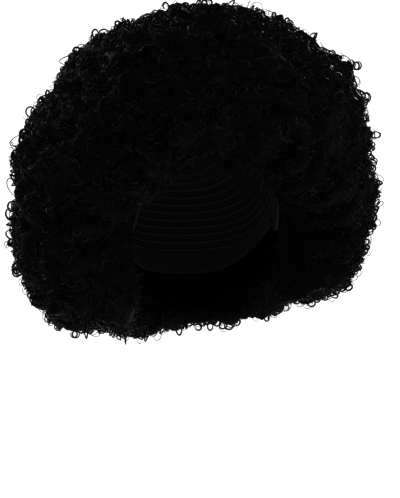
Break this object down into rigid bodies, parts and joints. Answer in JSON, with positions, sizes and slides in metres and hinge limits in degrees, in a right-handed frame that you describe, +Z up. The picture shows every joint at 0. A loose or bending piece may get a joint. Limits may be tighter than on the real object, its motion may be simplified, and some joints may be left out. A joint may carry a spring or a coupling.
{
  "type": "afro wig",
  "caption": "Big round afro wig: rings of curly black wefts sewn on a stretch cap with an elastic edge band, open at the face and neck and shown as worn.",
  "frame": {"origin": "inside of the cap at the crown, where the top of the wearer's head touches it", "axes": "+Z up, -Y towards the face opening, +X to the right of someone who faces the wearer"},
  "size_m": [0.3927, 0.3571, 0.3485],
  "materials": {
    "curly_hair": "fine crimped synthetic fibre, near black, with a soft cool sheen",
    "cap_net": "matt stretch net with sewn weft tracks",
    "edge_elastic": "matt ribbed elastic"
  },
  "bodies": {
    "root": {"cap": "cap_net", "edge_band": "edge_elastic", "crown_tuft": "curly_hair", "weft_8": "curly_hair", "weft_7": "curly_hair", "weft_6": "curly_hair", "weft_5": "curly_hair", "weft_4": "curly_hair", "weft_3": "curly_hair", "weft_2": "curly_hair", "weft_1": "curly_hair"}
  },
  "joints": []
}
